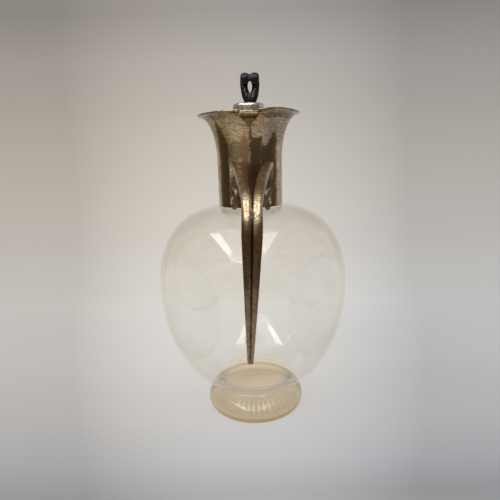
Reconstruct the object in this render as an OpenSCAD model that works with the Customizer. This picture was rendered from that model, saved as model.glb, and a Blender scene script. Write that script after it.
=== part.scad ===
// Claret jug: blown glass body with four dimples, plated collar with an inset hinged lid,
// and a double-reeded scroll handle. Millimetres, +Z up. The origin is on the table under
// the middle of the foot. The handle points along -Y, and wine is poured along +Y.

/* [Glass body] */
// Greatest radius of the blown body
belly_r = 81; // [76:0.5:86]
// Height of the greatest radius above the table
belly_z = 118; // [112:1:124]
// Height of the shoulder's crest, where the collar sits
shoulder_z = 184.6; // [180:0.2:190]
// Height of the lowest point that the body's curve runs to
body_low_z = 20; // [18:0.5:24]
// Fullness of the shoulder's curve, where 2 is an ellipse
shoulder_fullness = 3.5; // [2.6:0.1:4]
// Fullness of the lower body's curve, where 2 is an ellipse
base_fullness = 2.8; // [2.2:0.1:3.4]
// Thickness of the blown wall
glass_wall = 2.6; // [2:0.1:3.4]
// Outer radius of the glass neck inside the collar
neck_r = 23.4; // [21:0.1:24]
// Height of the glass neck's ground end
neck_top_z = 221; // [215:1:226]

/* [Dimples] */
// Number of dimples pressed into the body
dimple_count = 4; // [2:1:5]
// Radius of the ball that shapes a dimple
dimple_r = 130; // [110:1:160]
// Depth of a dimple at its middle
dimple_depth = 13; // [8:0.5:16]
// Height of a dimple's middle
dimple_z = 107; // [100:1:114]

/* [Glass foot] */
// Greatest radius of the foot
foot_r = 43.8; // [40:0.2:50]
// Radius of the waist between foot and body
waist_r = 27; // [24:0.5:31]
// Width of the foot's rounded edge
foot_edge_w = 9; // [6:0.5:10]
// Height of the foot's greatest radius
foot_edge_z = 5.5; // [4:0.5:7]
// Height of the foot's flat shoulder
foot_shoulder_z = 16; // [13:0.5:18]
// Number of star cuts in the ground base
star_cuts = 36; // [24:1:44]
// Radius at which the star cuts start
star_in_r = 13; // [12:0.5:16]
// Radius at which they end
star_out_r = 28; // [24:0.5:32]
// Width of a star cut
star_cut_w = 1.9; // [1:0.1:2]
// Depth of a star cut
star_cut_depth = 1.6; // [0.8:0.1:2.4]

/* [Collar] */
// Outer radius of the collar's straight part
collar_r = 27; // [26:0.1:29]
// Thickness of the collar's sheet
sheet_t = 0.8; // [0.6:0.05:1]
// Height at which the flare starts
flare_z = 222; // [218:1:228]
// Height of the flare
flare_h = 35.5; // [30:0.5:40]
// Width of the flare, from the straight part to the rim
flare_w = 14.8; // [12:0.2:17]
// Radius of the wire on the rim
rim_wire_r = 0.8; // [0.7:0.05:1.2]

/* [Handle] */
// Reach of the handle's bend, measured from the jug's axis
handle_reach = 104; // [100:1:112]
// Height at which the handle has turned down towards the body
bend_z = 177; // [172:1:184]
// Height of the arch's top where each reed leaves the collar
arch_z = 218; // [212:1:222]
// Height of the handle's tip
tip_z = 77; // [70:1:90]
// Space left between the tip and the glass
tip_gap = 0.8; // [0.4:0.1:3]
// Distance of each volute's riser from the handle's middle plane
volute_x = 15.4; // [13:0.2:17]
// Radius of a volute
volute_r = 9.6; // [7:0.2:10]
// Angle in degrees by which the volutes draw together at the front
volute_splay = 10; // [0:1:14]
// Width of a reed where the two meet
reed_w = 6.7; // [5.5:0.1:8]
// Thickness of a reed where the two meet
reed_t = 4.4; // [3:0.1:5.5]
// Width of a reed at the handle's tip
tip_w = 2.3; // [1.8:0.1:3]
// Lean of the soldered handle from plumb, in degrees
handle_lean = 2; // [0:0.5:3]

/* [Hinge] */
// Distance of the hinge's axis from the jug's axis
hinge_y = 40.4; // [39:0.1:42]
// Outer radius of the knuckles
knuckle_r = 1.7; // [1.5:0.05:2.2]
// Length of each of the two outer knuckles
outer_knuckle = 4; // [3:0.1:5]
// Length of the lid's middle knuckle
lid_knuckle = 4.4; // [3.6:0.1:6]
// Radius of the hinge pin
pin_r = 0.7; // [0.5:0.05:0.9]
// Radial running clearance of the lid's knuckle on the pin
pin_gap = 0.05; // [0.02:0.01:0.08]
// Gap between neighbouring knuckles
knuckle_gap = 0.3; // [0.2:0.05:0.4]
// How far the hinge's axis lies below the sheet's end at the rim
hinge_below = 2.4; // [2:0.1:3]
// How far the V-shaped drop hangs below the hinge's axis
drop_h = 8; // [6:0.5:10]
// Width of the drop's rounded end
drop_end_w = 3.6; // [2:0.2:5]
// Thickness of the drop at its rounded end
drop_end_t = 0.7; // [0.5:0.1:1]
// Thickness of the drop where it holds the knuckles
drop_root_t = 3; // [2.4:0.1:3.4]

/* [Lid] */
// How far the ledge that the lid rests on lies below the collar's edge
seat_below = 7.3; // [5.5:0.1:10]
// Width of that ledge
seat_w = 3.4; // [2.6:0.1:4.4]
// Thickness of the ledge's ring
seat_t = 1; // [0.8:0.1:1.4]
// Thickness of the lid's sheet
lid_t = 0.9; // [0.7:0.05:1.1]
// Height of the lid's dome above its rim
dome_h = 9.5; // [6:0.5:10]
// Depth of the tapered bezel under the lid
bezel_h = 4; // [3:0.5:5]
// Thickness of the strap that joins the lid to its knuckle
strap_t = 1.3; // [1:0.1:1.6]
// Gap around the bezel in its seat, and under the lid's rim
lid_gap = 0.3; // [0.2:0.05:0.5]
// Radius of the boss at its foot
boss_r = 12; // [10:0.2:14]
// Radius of the boss at its top
boss_top_r = 8.9; // [7:0.1:10]
// Height of the boss
boss_h = 5.8; // [4:0.2:7]

/* [Finial] */
// Height of the finial
finial_h = 23.4; // [20:0.2:26]
// Half of the finial's greatest width
finial_half_w = 7.9; // [7:0.1:9]
// Width of the slot between its two bands
finial_slot = 2.9; // [2:0.1:3.6]
// How far boss and finial sit to one side of the lid's middle
finial_off = 1.8; // [0:0.2:2.5]
// Radius of the stud that holds the finial
stud_r = 1.5; // [1.2:0.1:1.8]
// Depth of the finial's thread
thread_depth = 5; // [4:0.5:7]
// Thickness of the washer under the lid
washer_t = 0.8; // [0.6:0.1:1]
// Height of the nut under the washer
nut_h = 2.4; // [2:0.2:3]

/* [Hidden] */

// Colours, as the photograph shows the pieces
glass_colour = [0.86, 0.85, 0.80, 0.35];
plate_colour = [0.62, 0.58, 0.53];
dark_plate_colour = [0.40, 0.33, 0.26];
plaster_colour = [0.88, 0.86, 0.80];
ebony_colour = [0.06, 0.05, 0.05];
brass_colour = [0.70, 0.56, 0.32];

round_fn = 120;
small_fn = 48;
ball_fn = 180;
// Play left between pieces that are cemented or soldered together
solder_gap = 0.02;
// How far a cutting shape runs past the face that it cuts
cut_over = 1;
// Inset of the foot's rounded lower edge
foot_under_w = 2.5;

// ---- Shared curves -------------------------------------------------------------------

// Points along an ellipse's arc about a centre, from one angle to another
function arc(centre, half_w, half_h, from, to, steps) =
  [for (i = [0:steps])
    let (a = from + (to - from) * i / steps)
    [centre[0] + half_w * cos(a), centre[1] + half_h * sin(a)]];

// The body's outer curve, where 0 degrees is the belly and 90 the crest of the shoulder
function egg(a) =
  a >= 0
  ? [belly_r * pow(cos(a), 2 / shoulder_fullness), belly_z + (shoulder_z - belly_z) * sin(a)]
  : [belly_r * pow(cos(a), 2 / base_fullness), belly_z + (belly_z - body_low_z) * sin(a)];

// The same curve, moved inwards by the wall
function inner_egg(a) =
  let (step = 0.2, d = egg(a + step) - egg(a - step))
  egg(a) + glass_wall * [-d[1], d[0]] / norm(d);

// Radius of the body's outer curve at a height on its lower half
function body_r_at(z) =
  belly_r * pow(1 - pow((belly_z - z) / (belly_z - body_low_z), 2), 1 / base_fullness);

// Angles on that curve at which it meets the foot and the neck
neck_root_r = neck_r + 3.6;
low_angle = -acos(pow(waist_r / belly_r, base_fullness / 2));
high_angle = acos(pow(neck_root_r / belly_r, shoulder_fullness / 2));
foot_top_z = egg(low_angle)[1];
neck_root_z = egg(high_angle)[1];
egg_steps = 34;
mouth_r = neck_r - glass_wall;

// The collar's outer curve along the flare, and the normal that points into its mouth
function flare(a) = [collar_r + flare_w * (1 - cos(a)), flare_z + flare_h * sin(a)];
function flare_normal(a) =
  let (n = [-flare_h * cos(a), flare_w * sin(a)])
  n / norm(n);
function flare_angle(z) = asin((z - flare_z) / flare_h);
flare_steps = 18;
// Angle at which the sheet ends, just short of the curve's level end
flare_end = 84;
collar_in_r = collar_r - sheet_t;
rim_r = flare(flare_end)[0];
rim_z = flare(flare_end)[1];
seat_z = rim_z - seat_below;
// Angle at which the sheet's inner face is at a height, found in two steps, and its radius there
function mouth_angle(z) =
  let (a = flare_angle(z - sheet_t * flare_normal(flare_angle(z))[1]))
  flare_angle(z - sheet_t * flare_normal(a)[1]);
function mouth_r_at(z) =
  let (a = mouth_angle(z))
  (flare(a) + sheet_t * flare_normal(a))[0];

// ---- Glass ---------------------------------------------------------------------------

module dimple_balls(extra) {
  for (i = [0:dimple_count - 1])
    rotate([0, 0, 45 + i * 360 / dimple_count])
      translate([belly_r - dimple_depth + dimple_r, 0, dimple_z])
        sphere(r = dimple_r + extra, $fn = ball_fn);
}

module glass_body() {
  span = high_angle - low_angle;
  outer = [for (i = [0:egg_steps]) egg(low_angle + span * i / egg_steps)];
  inner = [for (i = [0:egg_steps]) inner_egg(low_angle + span * i / egg_steps)];
  root_h = neck_root_r - neck_r;
  outer_root = arc([neck_root_r, neck_root_z + root_h], root_h, root_h, 270, 180, 4);
  inner_root = arc([neck_root_r, neck_root_z + root_h], root_h + glass_wall,
                   root_h + glass_wall, 255, 180, 5);
  color(glass_colour) difference() {
    rotate_extrude($fn = round_fn)
      polygon(concat([[0, foot_top_z]], outer, outer_root, [[neck_r, neck_top_z], [0, neck_top_z]]));
    dimple_balls(0);
    difference() {
      rotate_extrude($fn = round_fn)
        polygon(concat([[0, inner[0][1]]], inner, inner_root,
                       [[mouth_r, neck_top_z + cut_over], [0, neck_top_z + cut_over]]));
      dimple_balls(glass_wall);
    }
  }
}

module glass_foot() {
  shoulder_r = foot_r - foot_edge_w;
  cove = arc([shoulder_r, foot_top_z], shoulder_r - waist_r, foot_top_z - foot_shoulder_z,
             180, 270, 6);
  edge = arc([shoulder_r, foot_edge_z], foot_edge_w, foot_shoulder_z - foot_edge_z, 90, 0, 8);
  under = arc([foot_r - foot_under_w, foot_edge_z], foot_under_w, foot_edge_z, 0, -90, 5);
  color(glass_colour) difference() {
    rotate_extrude($fn = round_fn)
      polygon(concat([[0, foot_top_z]], cove, edge, under, [[0, 0]]));
    for (i = [0:star_cuts - 1])
      rotate([0, 0, i * 360 / star_cuts])
        translate([star_out_r, 0, 0])
          rotate([90, 0, -90])
            linear_extrude(star_out_r - star_in_r)
              polygon([[-star_cut_w / 2, -cut_over], [-star_cut_w / 2, 0], [0, star_cut_depth],
                       [star_cut_w / 2, 0], [star_cut_w / 2, -cut_over]]);
  }
}

// ---- Collar and its bedding ----------------------------------------------------------

module tube(out_r, in_r, low, high) {
  translate([0, 0, low])
    difference() {
      cylinder(r = out_r, h = high - low, $fn = round_fn);
      translate([0, 0, -cut_over])
        cylinder(r = in_r, h = high - low + 2 * cut_over, $fn = round_fn);
    }
}

bed_low_z = neck_root_z + neck_root_r - neck_r;
module plaster_bed() {
  color(plaster_colour)
    tube(collar_in_r - solder_gap, neck_r + solder_gap, bed_low_z, neck_top_z);
}

module neck_cap_ring() {
  color(plate_colour)
    tube(collar_in_r - solder_gap, mouth_r, neck_top_z + solder_gap, neck_top_z + sheet_t);
}

// Notch in the rim for the knuckles, and the deeper slot in it for the lid's strap
hinge_z = rim_z - hinge_below;
hinge_len = lid_knuckle + 2 * knuckle_gap + 2 * outer_knuckle;
slot_w = lid_knuckle + 2 * knuckle_gap;
// Height of the strap's underside above the hinge's axis, and how far its slot runs into the mouth
strap_lift = 0.4;
slot_in = 1;
strap_under_z = hinge_z + strap_lift;
slot_y = mouth_r_at(strap_under_z) - slot_in;
notch_y = hinge_y - knuckle_r - knuckle_gap;
module hinge_notch() {
  far = rim_r + 2 * rim_wire_r + cut_over;
  translate([-slot_w / 2, -far, strap_under_z - knuckle_gap])
    cube([slot_w, far - slot_y, 2 * hinge_below]);
  translate([-hinge_len / 2 - knuckle_gap, -far, hinge_z - knuckle_r])
    cube([hinge_len + 2 * knuckle_gap, far - notch_y, 2 * hinge_below + knuckle_r]);
}

module collar() {
  outer = [for (i = [0:flare_steps]) flare(flare_end * i / flare_steps)];
  inner = [for (i = [flare_steps:-1:0])
    let (a = flare_end * i / flare_steps)
    flare(a) + sheet_t * flare_normal(a)];
  color(plate_colour) difference() {
    rotate_extrude($fn = round_fn)
      polygon(concat([[collar_in_r, shoulder_z], [collar_r, shoulder_z]], outer, inner));
    hinge_notch();
  }
}

module rim_wire() {
  into_mouth = flare_normal(flare_end);
  along_sheet = [into_mouth[1], -into_mouth[0]];
  color(plate_colour) difference() {
    rotate_extrude($fn = round_fn)
      translate(flare(flare_end) + into_mouth * sheet_t / 2 + along_sheet * (rim_wire_r + solder_gap))
        circle(r = rim_wire_r, $fn = small_fn);
    hinge_notch();
  }
}

module lid_seat_ring() {
  low = seat_z - seat_t;
  color(plate_colour) rotate_extrude($fn = round_fn)
    polygon([
      [mouth_r_at(seat_z) - seat_w, low],
      [mouth_r_at(low) - 2 * solder_gap, low],
      [mouth_r_at(seat_z) - 2 * solder_gap, seat_z],
      [mouth_r_at(seat_z) - seat_w, seat_z]
    ]);
}

// ---- Handle --------------------------------------------------------------------------

// Smooth curve through points: four neighbours and a share of the way from the second to the third
function blend4(a, b, c, d, t) =
  0.5 * (2 * b + (c - a) * t + (2 * a - 5 * b + 4 * c - d) * t * t + (3 * b - a - 3 * c + d) * t * t * t);
function smooth(points, steps) =
  let (last = len(points) - 1)
  [for (i = [0:last - 1], k = [0:steps - (i == last - 1 ? 0 : 1)])
    blend4(points[max(i - 1, 0)], points[i], points[i + 1], points[min(i + 2, last)], k / steps)];

// Solid swept along a path. Each path point is [x, y, z, width, thickness], and the section
// lies across the path with its width held as near as it can be to the X axis.
function path_dir(path, i) =
  let (last = len(path) - 1, a = path[max(i - 1, 0)], b = path[min(i + 1, last)],
       d = [b[0] - a[0], b[1] - a[1], b[2] - a[2]])
  d / norm(d);
module sweep(path, section) {
  sides = len(section);
  rings = len(path);
  points = [for (i = [0:rings - 1])
    let (t = path_dir(path, i),
         w0 = [1, 0, 0] - t[0] * t,
         w = w0 / norm(w0),
         n = cross(t, w),
         p = path[i])
    for (q = section) [p[0], p[1], p[2]] + w * q[0] * p[3] + n * q[1] * p[4]];
  sides_faces = [for (i = [0:rings - 2], j = [0:sides - 1])
    let (k = (j + 1) % sides)
    each [[i * sides + j, i * sides + k, (i + 1) * sides + k],
          [i * sides + j, (i + 1) * sides + k, (i + 1) * sides + j]]];
  end_faces = [
    [for (j = [sides - 1:-1:0]) j],
    [for (j = [0:sides - 1]) (rings - 1) * sides + j]
  ];
  polyhedron(points, concat(sides_faces, end_faces), convexity = 8);
}

// Half-round section, one wide and one thick: a flat back with eased corners and a round front
reed_section = concat(
  [[0.44, 0], [0.5, 0.12]],
  arc([0, 0.12], 0.5, 0.88, 22.5, 157.5, 6),
  [[-0.5, 0.12], [-0.44, 0]]
);

// Distance of the riser's flat back from the jug's axis, where it is fitted to the collar
back_y = sqrt(pow(collar_r, 2) - pow(volute_x, 2)) + 0.4;
volute_y = back_y + volute_r;
// The volute's lowest point clears the shoulder, also on the side that leans down
volute_z = shoulder_z + volute_r + 0.1;
volute_turns = 1.5;
volute_steps = 26;
// Radius of the volute's eye, as a share of the whole
volute_eye = 0.22;
wire_w = 3.2;
wire_t = 2.4;

// Reed from the eye of its volute, round and up the collar, over the arch and down to the tip
volute_path = [for (i = [0:volute_steps - 1])
  let (share = i / volute_steps,
       a = 180 + 360 * volute_turns * (1 - share),
       r = volute_r * (volute_eye + (1 - volute_eye) * share),
       y = volute_y + r * cos(a))
  [volute_x - (y - back_y) * tan(volute_splay), -y, volute_z + r * sin(a),
   wire_w, wire_t * (0.7 + 0.3 * share)]];
limb_path = smooth([
  [volute_x, -back_y, volute_z, wire_w, wire_t],
  [volute_x, -back_y - 0.2, (volute_z + arch_z) / 2 - 2, wire_w + 0.4, wire_t],
  [volute_x - 0.2, -back_y - 2.2, arch_z - 5, wire_w + 0.9, wire_t + 0.3],
  [volute_x - 1.6, -back_y - 9, arch_z, reed_w - 0.6, wire_t + 0.8],
  [volute_x * 0.68, -handle_reach * 0.46, arch_z - 3, reed_w + 0.3, reed_t - 0.4],
  [volute_x * 0.5, -handle_reach * 0.63, arch_z - 8.5, reed_w + 0.3, reed_t - 0.2],
  [reed_w * 0.76, -handle_reach * 0.8, arch_z - 15.5, reed_w, reed_t],
  [reed_w * 0.62, -handle_reach * 0.89, arch_z - 20.3, reed_w, reed_t],
  [reed_w * 0.54, -handle_reach * 0.957, arch_z - 26.6, reed_w, reed_t],
  [reed_w * 0.51, -handle_reach * 0.994, bend_z + 7, reed_w, reed_t],
  [reed_w * 0.5, -handle_reach, bend_z, reed_w, reed_t]
], 5);
tip_y = body_r_at(tip_z) + tip_gap;
function lower_w(share) = reed_w + (tip_w - reed_w) * share;
lower_steps = 12;
lower_bow = 3;
lower_path = [for (i = [1:lower_steps])
  let (share = i / lower_steps, w = lower_w(share))
  [w / 2,
   -handle_reach + (handle_reach - tip_y) * share - lower_bow * sin(180 * share),
   bend_z + (tip_z - bend_z) * share,
   w, reed_t + (tip_w * 1.2 - reed_t) * share]];
nose = lower_path[lower_steps - 1];
nose_path = [[nose[0] * 0.9, nose[1] - 0.2, nose[2] - 1.1, nose[3] * 0.8, nose[4] * 0.8],
             [nose[0] * 0.8, nose[1] - 0.5, nose[2] - 1.8, nose[3] * 0.4, nose[4] * 0.4]];
handle_play = 0.03;

module reed(side) {
  path = concat(volute_path, limb_path, lower_path, nose_path);
  color(plate_colour) difference() {
    translate([0, 0, shoulder_z])
      rotate([0, handle_lean, 0])
        translate([side > 0 ? handle_play : -handle_play, 0, -shoulder_z])
          mirror([side > 0 ? 0 : 1, 0, 0])
            sweep(path, reed_section);
    translate([0, 0, shoulder_z - volute_r])
      cylinder(r = collar_r + solder_gap, h = flare_z - shoulder_z + 2 * volute_r, $fn = round_fn);
  }
}
module handle_reed_left() {
  reed(-1);
}
module handle_reed_right() {
  reed(1);
}

// ---- Hinge ---------------------------------------------------------------------------

module along_hinge(r, x0, x1) {
  translate([x0, -hinge_y, hinge_z])
    rotate([0, 90, 0])
      cylinder(r = r, h = x1 - x0, $fn = small_fn);
}

module hinge_drop() {
  low = hinge_z - drop_h;
  low_a = flare_angle(low - cut_over);
  high_a = acos(1 - (notch_y - collar_r) / flare_w);
  steps = 8;
  end_r = drop_end_w / 2;
  inside = [for (i = [0:steps])
    let (a = low_a + (high_a - low_a) * i / steps)
    flare(a) - 3 * solder_gap * flare_normal(a)];
  outside = [for (i = [steps:-1:0])
    let (share = i / steps, a = low_a + (high_a - low_a) * share)
    flare(a) - (drop_end_t + (drop_root_t - drop_end_t) * share) * flare_normal(a)];
  color(dark_plate_colour) difference() {
    intersection() {
      rotate_extrude($fn = round_fn) polygon(concat(inside, outside));
      translate([0, 0, low])
        rotate([90, 0, 0])
          linear_extrude(rim_r + drop_root_t) {
            polygon([[-end_r, end_r], [end_r, end_r], [hinge_len / 2, drop_h - end_r],
                     [hinge_len / 2, drop_h + end_r], [-hinge_len / 2, drop_h + end_r],
                     [-hinge_len / 2, drop_h - end_r]]);
            translate([0, end_r]) circle(r = end_r, $fn = small_fn);
          }
    }
    along_hinge(knuckle_r + solder_gap, -hinge_len, hinge_len);
    along_hinge(knuckle_r + knuckle_gap, -slot_w / 2, slot_w / 2);
    translate([-slot_w / 2, -hinge_y, strap_under_z - knuckle_gap])
      cube([slot_w, hinge_y, hinge_below]);
  }
}

module hinge_knuckles() {
  start = lid_knuckle / 2 + knuckle_gap;
  color(plate_colour) difference() {
    union() {
      along_hinge(knuckle_r, -start - outer_knuckle, -start);
      along_hinge(knuckle_r, start, start + outer_knuckle);
    }
    along_hinge(pin_r + solder_gap / 2, -hinge_len, hinge_len);
  }
}

pin_proud = 0.2;
module hinge_pin() {
  color(brass_colour) along_hinge(pin_r, -hinge_len / 2 - pin_proud, hinge_len / 2 + pin_proud);
}

// ---- Lid -----------------------------------------------------------------------------

lid_z = seat_z + lid_gap;
lid_top_z = lid_z + lid_t;
lid_r = mouth_r_at(lid_z) - 2 * lid_gap;
dome_r = lid_r - seat_w - 0.4;
boss_z = lid_top_z + dome_h;
bezel_r = mouth_r_at(seat_z) - seat_w - lid_gap;
stud_hole_r = stud_r + 0.1;

// Height of the lid's upper face at a radius: a dome that falls in a soft double curve
function dome_z(r) =
  let (share = min(max((r - boss_r) / (dome_r - boss_r), 0), 1))
  lid_top_z + dome_h * (0.5 + 0.5 * cos(180 * share));

module lid_cover() {
  steps = 12;
  radii = [for (i = [0:steps]) boss_r + (dome_r - boss_r) * i / steps];
  top = [for (r = radii) [r, dome_z(r)]];
  bottom = [for (i = [steps:-1:0]) [radii[i], dome_z(radii[i]) - lid_t]];
  color(plate_colour) difference() {
    rotate_extrude($fn = round_fn)
      polygon(concat([[0, boss_z]], top, [[lid_r, lid_top_z], [lid_r, lid_z]], bottom,
                     [[0, boss_z - lid_t]]));
    translate([finial_off, 0, boss_z - lid_t - cut_over])
      cylinder(r = stud_hole_r, h = lid_t + 2 * cut_over, $fn = small_fn);
  }
}

bezel_t = 1;
module lid_bezel() {
  low = lid_z - bezel_h;
  taper = 0.9;
  color(plate_colour) rotate_extrude($fn = round_fn)
    polygon([
      [bezel_r - bezel_t, lid_z - solder_gap], [bezel_r, lid_z - solder_gap],
      [bezel_r, seat_z - seat_t / 2], [bezel_r - taper, low],
      [bezel_r - taper - bezel_t, low]
    ]);
}

edge_wire_r = 0.7;
module lid_edge_wire() {
  gap_w = lid_knuckle + 2 * solder_gap;
  color(plate_colour) difference() {
    rotate_extrude($fn = round_fn)
      translate([lid_r - edge_wire_r, lid_top_z + edge_wire_r + solder_gap])
        circle(r = edge_wire_r, $fn = small_fn);
    translate([-gap_w / 2, -lid_r - cut_over, lid_z])
      cube([gap_w, 2 * edge_wire_r + 2 * cut_over, 3 * edge_wire_r + cut_over]);
  }
}

// The lid's knuckle and the strap that comes over the collar's edge and down onto the lid
module lid_leaf() {
  base = lid_top_z + solder_gap;
  crook = mouth_r_at(strap_under_z) - 2 * knuckle_gap;
  heel = lid_r + knuckle_gap / 2;
  color(plate_colour) difference() {
    union() {
      along_hinge(knuckle_r, -lid_knuckle / 2, lid_knuckle / 2);
      translate([-lid_knuckle / 2, 0, 0])
        rotate([90, 0, 90])
          linear_extrude(lid_knuckle)
            polygon([
              [-dome_r, base], [-heel, base], [-crook, strap_under_z], [-hinge_y, strap_under_z],
              [-hinge_y, hinge_z + knuckle_r], [strap_t - crook, hinge_z + knuckle_r],
              [strap_t - heel, base + strap_t], [-dome_r, base + strap_t / 2]
            ]);
    }
    along_hinge(pin_r + pin_gap, -lid_knuckle, lid_knuckle);
  }
}

module lid_boss() {
  base = boss_z + solder_gap;
  color(plate_colour) translate([finial_off, 0, base]) difference() {
    rotate_extrude($fn = round_fn)
      polygon(concat(
        [[0, 0], [boss_r, 0], [boss_r, 0.5]],
        arc([boss_top_r, 0.5], boss_r - boss_top_r, boss_h - 1.5, 0, 60, 4),
        arc([boss_top_r - 1, boss_h - 0.9], 1, 0.9, 40, 90, 3),
        [[0, boss_h]]));
    translate([0, 0, -cut_over])
      cylinder(r = stud_hole_r, h = boss_h + 2 * cut_over, $fn = small_fn);
  }
}

// ---- Finial and its fastening --------------------------------------------------------

finial_z = boss_z + boss_h + 2 * solder_gap;
band_hw = (finial_half_w - finial_slot / 2) / 2;
band_x = finial_slot / 2 + band_hw;
band_t = 2.6;
finial_sides = 16;
finial_section = arc([0, 0], 1, 1, 0, 360 - 360 / finial_sides, finial_sides - 1);
lobe_x = finial_half_w * 0.49;
finial_path = smooth([
  [band_x * 0.3, 0, 0, band_hw * 0.87, band_t * 1.27],
  [band_x * 0.41, 0, finial_h * 0.07, band_hw * 0.9, band_t * 1.23],
  [band_x * 0.6, band_t * 0.08, finial_h * 0.19, band_hw, band_t * 1.15],
  [band_x * 0.75, band_t * 0.27, finial_h * 0.31, band_hw * 1.06, band_t * 1.08],
  [band_x * 0.96, band_t * 0.58, finial_h * 0.48, band_hw * 0.95, band_t * 1.04],
  [band_x, band_t * 0.77, finial_h * 0.65, band_hw, band_t],
  [band_x * 0.9, band_t * 0.69, finial_h * 0.78, band_hw * 1.13, band_t],
  [lobe_x, -band_t * 0.15, finial_h * 0.885, lobe_x * 0.98, band_t],
  [lobe_x, -band_t * 1.31, finial_h * 0.87, lobe_x * 0.97, band_t * 0.96],
  [lobe_x * 1.04, -band_t * 1.92, finial_h * 0.76, band_hw, band_t * 0.88],
  [lobe_x * 1.06, -band_t * 1.54, finial_h * 0.665, band_hw * 0.8, band_t * 0.65],
  [lobe_x * 1.06, -band_t * 1.12, finial_h * 0.66, band_hw * 0.35, band_t * 0.27]
], 2);

module finial() {
  color(ebony_colour) translate([finial_off, 0, finial_z]) difference() {
    intersection() {
      union() {
        sweep(finial_path, finial_section);
        mirror([1, 0, 0]) sweep(finial_path, finial_section);
      }
      translate([-finial_h / 2, -finial_h / 2, 0]) cube([finial_h, finial_h, finial_h * 2]);
    }
    translate([0, 0, -cut_over])
      cylinder(r = stud_r + solder_gap, h = thread_depth + cut_over, $fn = small_fn);
  }
}

washer_r = 4.2;
nut_r = 3.2;
stud_low_z = boss_z - lid_t - washer_t - nut_h - 1;
module finial_stud() {
  color(brass_colour) translate([finial_off, 0, stud_low_z])
    cylinder(r = stud_r, h = finial_z + thread_depth - 0.3 - stud_low_z, $fn = small_fn);
}

// Flat piece with a hole for the stud, lying with its top at a height
module on_stud(r, h, hole_r, top, sides) {
  translate([finial_off, 0, top - h]) difference() {
    cylinder(r = r, h = h, $fn = sides);
    translate([0, 0, -cut_over])
      cylinder(r = hole_r, h = h + 2 * cut_over, $fn = small_fn);
  }
}

module finial_washer() {
  color(brass_colour)
    on_stud(washer_r, washer_t, stud_hole_r, boss_z - lid_t - solder_gap, small_fn);
}

module finial_nut() {
  top = boss_z - lid_t - washer_t - 2 * solder_gap;
  color(brass_colour) on_stud(nut_r, nut_h, stud_r + solder_gap, top, 6);
}

glass_body();
glass_foot();
plaster_bed();
neck_cap_ring();
collar();
rim_wire();
lid_seat_ring();
handle_reed_left();
handle_reed_right();
hinge_drop();
hinge_knuckles();
hinge_pin();
lid_leaf();
lid_cover();
lid_bezel();
lid_edge_wire();
lid_boss();
finial();
finial_stud();
finial_washer();
finial_nut();
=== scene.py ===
"""A claret jug of blown glass with a plated collar, handle and lid, dressed on its CAD model."""

from math import acos, cos, degrees, exp, hypot, pi, radians, sin, sqrt, tan

import bpy
from mathutils import Matrix, Vector


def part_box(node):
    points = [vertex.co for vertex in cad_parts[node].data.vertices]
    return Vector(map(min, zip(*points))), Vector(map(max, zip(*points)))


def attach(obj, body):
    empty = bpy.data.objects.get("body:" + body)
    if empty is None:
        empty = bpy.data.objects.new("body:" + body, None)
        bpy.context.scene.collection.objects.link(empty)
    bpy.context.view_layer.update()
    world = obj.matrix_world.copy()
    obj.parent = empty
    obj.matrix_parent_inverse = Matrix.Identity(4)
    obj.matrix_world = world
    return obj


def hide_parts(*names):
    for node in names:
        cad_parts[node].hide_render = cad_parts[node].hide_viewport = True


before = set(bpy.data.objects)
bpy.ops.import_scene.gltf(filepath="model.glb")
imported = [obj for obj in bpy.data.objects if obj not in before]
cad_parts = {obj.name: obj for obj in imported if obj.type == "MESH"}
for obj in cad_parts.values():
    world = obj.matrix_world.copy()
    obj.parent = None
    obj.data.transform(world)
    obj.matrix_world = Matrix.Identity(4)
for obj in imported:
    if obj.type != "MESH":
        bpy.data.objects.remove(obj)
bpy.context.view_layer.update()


# ---- Camera ------------------------------------------------------------------------------
# A hand-held camera a little above the collar, behind the handle, that looks slightly down.
# Its place and lens come from the outlines of rim, collar, body and foot.

MM = 0.001
EYE = (-1.77, -352.65, 226.5)
LOOK_DOWN, ROLL = 13.15, 1.59
camera_data = bpy.data.cameras.new("camera")
camera_data.sensor_width = 36
camera_data.lens = 29.52
camera_data.clip_start = 10 * MM
camera = bpy.data.objects.new("camera", camera_data)
bpy.context.scene.collection.objects.link(camera)
camera.matrix_world = (
    Matrix.Translation(Vector(EYE) * MM)
    @ Matrix.Rotation(radians(90 - LOOK_DOWN), 4, "X")
    @ Matrix.Rotation(radians(-ROLL), 4, "Z")
)
bpy.context.scene.camera = camera
bpy.context.scene.view_settings.view_transform = "Standard"


# ---- Floor and backdrop ------------------------------------------------------------------
# One sheet of pale paper that lies on the table and curves up behind the jug. Its colour has
# the room's lamplight painted in: warm in the lit middle, cooler and greyer towards its edges.


class Wire:
    """A shader socket that takes part in Python expressions by adding Math nodes."""

    def __init__(self, finish, socket):
        self.finish = finish
        self.socket = socket

    def math(self, operation, *others):
        values = dict(enumerate((self, *others)))
        return self.finish.add("ShaderNodeMath", {"operation": operation}, values)

    def __add__(self, other):
        return self.math("ADD", other)

    def __sub__(self, other):
        return self.math("SUBTRACT", other)

    def __mul__(self, other):
        return self.math("MULTIPLY", other)

    def __truediv__(self, other):
        return self.math("DIVIDE", other)

    def __pow__(self, other):
        return self.math("POWER", other)

    def __rsub__(self, other):
        return self.finish.add("ShaderNodeMath", {"operation": "SUBTRACT"}, {0: other, 1: self})

    __radd__ = __add__
    __rmul__ = __mul__

    def step(self, low, high):
        """0 below low and 1 above high, with a soft rise between them, or the reverse."""
        return self.finish.add(
            "ShaderNodeMapRange",
            {"interpolation_type": "SMOOTHSTEP"},
            {"Value": self, "From Min": low, "From Max": high},
        )


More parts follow.
